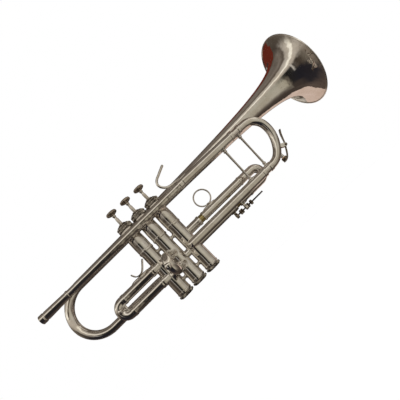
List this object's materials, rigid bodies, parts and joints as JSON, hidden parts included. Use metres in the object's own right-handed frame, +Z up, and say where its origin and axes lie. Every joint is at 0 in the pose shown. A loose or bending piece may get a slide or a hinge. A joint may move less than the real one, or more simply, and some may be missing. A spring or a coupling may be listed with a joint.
{
  "type": "trumpet",
  "caption": "Piston-valve trumpet with sprung valves, four pull-out slides, finger ring, thumb saddle, finger hook and a water key.",
  "frame": {"origin": "on the middle valve's axis, level with the waist ring of its casing, where the left hand holds the valve block", "axes": "+X from the mouthpiece receiver to the bell, +Z up the valves to the finger buttons, +Y to the player's left"},
  "size_m": [0.4977, 0.1509, 0.1875],
  "materials": {
    "silver_plate": "polished silver plate over brass, warm and slightly tarnished",
    "dark_silver": "worn silver plate, darker in its recesses",
    "bare_brass": "bare drawn brass",
    "monel": "lapped nickel-copper alloy",
    "spring_steel": "drawn wire"
  },
  "bodies": {
    "trumpet_body": {"mouthpiece_receiver": "silver_plate", "leadpipe": "silver_plate", "main_sleeve_upper": "silver_plate", "main_sleeve_lower": "silver_plate", "sleeve_brace": "silver_plate", "bell": "silver_plate", "bell_bow": "silver_plate", "bell_brace_rear": "silver_plate", "bell_brace_front": "silver_plate", "finger_hook": "silver_plate", "valve_casing_1": "silver_plate", "top_cap_1": "silver_plate", "bottom_cap_1": "silver_plate", "valve_guide_1": "bare_brass", "valve_spring_1": "spring_steel", "valve_casing_2": "silver_plate", "top_cap_2": "silver_plate", "bottom_cap_2": "silver_plate", "valve_guide_2": "bare_brass", "valve_spring_2": "spring_steel", "valve_casing_3": "silver_plate", "top_cap_3": "silver_plate", "bottom_cap_3": "silver_plate", "valve_guide_3": "bare_brass", "valve_spring_3": "spring_steel", "crossover_tube_12": "silver_plate", "crossover_tube_23": "silver_plate", "casing_strut_upper_12": "silver_plate", "casing_strut_upper_23": "silver_plate", "casing_strut_lower_12": "silver_plate", "casing_strut_lower_23": "silver_plate", "first_slide_inner_upper": "silver_plate", "first_slide_inner_lower": "silver_plate", "second_slide_sleeve_upper": "silver_plate", "second_slide_sleeve_lower": "silver_plate", "third_slide_sleeve_upper": "silver_plate", "third_slide_sleeve_lower": "silver_plate", "third_slide_stop_rod": "dark_silver"},
    "valve_1": {"piston_1": "monel", "piston_stem_1": "silver_plate", "finger_button_1": "dark_silver"},
    "valve_2": {"piston_2": "monel", "piston_stem_2": "silver_plate", "finger_button_2": "dark_silver"},
    "valve_3": {"piston_3": "monel", "piston_stem_3": "silver_plate", "finger_button_3": "dark_silver"},
    "first_slide": {"first_slide_outer_upper": "silver_plate", "first_slide_outer_lower": "silver_plate", "first_slide_crook": "silver_plate", "thumb_saddle": "silver_plate"},
    "second_slide": {"second_slide_crook": "silver_plate"},
    "third_slide": {"third_slide_leg_upper": "silver_plate", "third_slide_leg_lower": "silver_plate", "third_slide_crook": "silver_plate", "third_slide_ring": "silver_plate", "third_slide_stop_lug": "silver_plate"},
    "tuning_slide": {"tuning_slide_crook": "silver_plate", "tuning_slide_brace": "silver_plate"},
    "water_key": {"water_key_lever": "dark_silver"}
  },
  "joints": [
    {"name": "valve_1_press", "type": "slide", "parent": "trumpet_body", "child": "valve_1", "axis": [0, 0, -1], "range_m": [0, 0.016], "stiffness_N_per_m": 120, "springref_m": -0.02, "deforming": ["valve_spring_1"]},
    {"name": "valve_2_press", "type": "slide", "parent": "trumpet_body", "child": "valve_2", "axis": [0, 0, -1], "range_m": [0, 0.016], "stiffness_N_per_m": 120, "springref_m": -0.02, "deforming": ["valve_spring_2"]},
    {"name": "valve_3_press", "type": "slide", "parent": "trumpet_body", "child": "valve_3", "axis": [0, 0, -1], "range_m": [0, 0.016], "stiffness_N_per_m": 120, "springref_m": -0.02, "deforming": ["valve_spring_3"]},
    {"name": "first_slide_pull", "type": "slide", "parent": "trumpet_body", "child": "first_slide", "axis": [-1, 0, 0], "range_m": [0, 0.025]},
    {"name": "second_slide_pull", "type": "slide", "parent": "trumpet_body", "child": "second_slide", "axis": [-0.225, -0.9744, 0], "range_m": [0, 0.015]},
    {"name": "third_slide_pull", "type": "slide", "parent": "trumpet_body", "child": "third_slide", "axis": [1, 0, 0], "range_m": [-0.0035, 0]},
    {"name": "tuning_slide_pull", "type": "slide", "parent": "trumpet_body", "child": "tuning_slide", "axis": [1, 0, 0], "range_m": [0, 0.035]},
    {"name": "water_key_open", "type": "hinge", "parent": "tuning_slide", "child": "water_key", "pos_m": [0.2096, -0.015, -0.03], "axis": [0, -1, 0], "range_deg": [0, 16], "stiffness_Nm_per_rad": 0.06, "springref_deg": -20.05}
  ]
}
